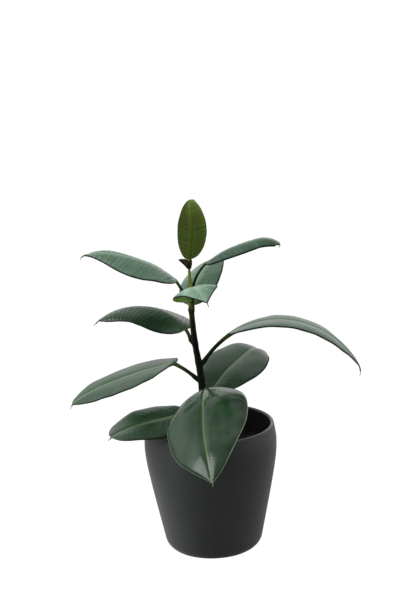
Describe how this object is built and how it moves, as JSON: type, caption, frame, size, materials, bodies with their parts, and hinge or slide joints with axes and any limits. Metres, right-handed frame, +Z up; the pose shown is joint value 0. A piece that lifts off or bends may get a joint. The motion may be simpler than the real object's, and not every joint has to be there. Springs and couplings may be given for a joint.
{
  "type": "potted rubber plant",
  "caption": "Young rubber plant with broad, arching, pointed leaves on one leaning stem, growing in soil in a rounded matt ceramic pot that stands on a flat base.",
  "frame": {"origin": "centre of the pot's flat underside, on the surface that the pot stands on", "axes": "+Z up along the pot's axis, -Y towards the side that the large front leaf hangs over, +X towards the long leaf that arches out to the right"},
  "size_m": [0.3112, 0.2581, 0.3807],
  "materials": {
    "pot": "matte",
    "soil": "matte",
    "stem": "satin",
    "sheath": "matte",
    "young_leaf": "satin",
    "leaf": "satin"
  },
  "bodies": {
    "root": {"pot": "pot", "soil": "soil", "stem": "stem", "stipule_sheath": "sheath", "leaf_top": "young_leaf", "leaf_upper_right": "leaf", "leaf_upper_left": "leaf", "leaf_front_small": "leaf", "leaf_upper_back": "leaf", "leaf_middle_left": "leaf", "leaf_long_right": "leaf", "leaf_lower_left": "leaf", "leaf_lower_back": "leaf", "leaf_front_large": "leaf", "leaf_bottom_left": "leaf"}
  },
  "joints": []
}
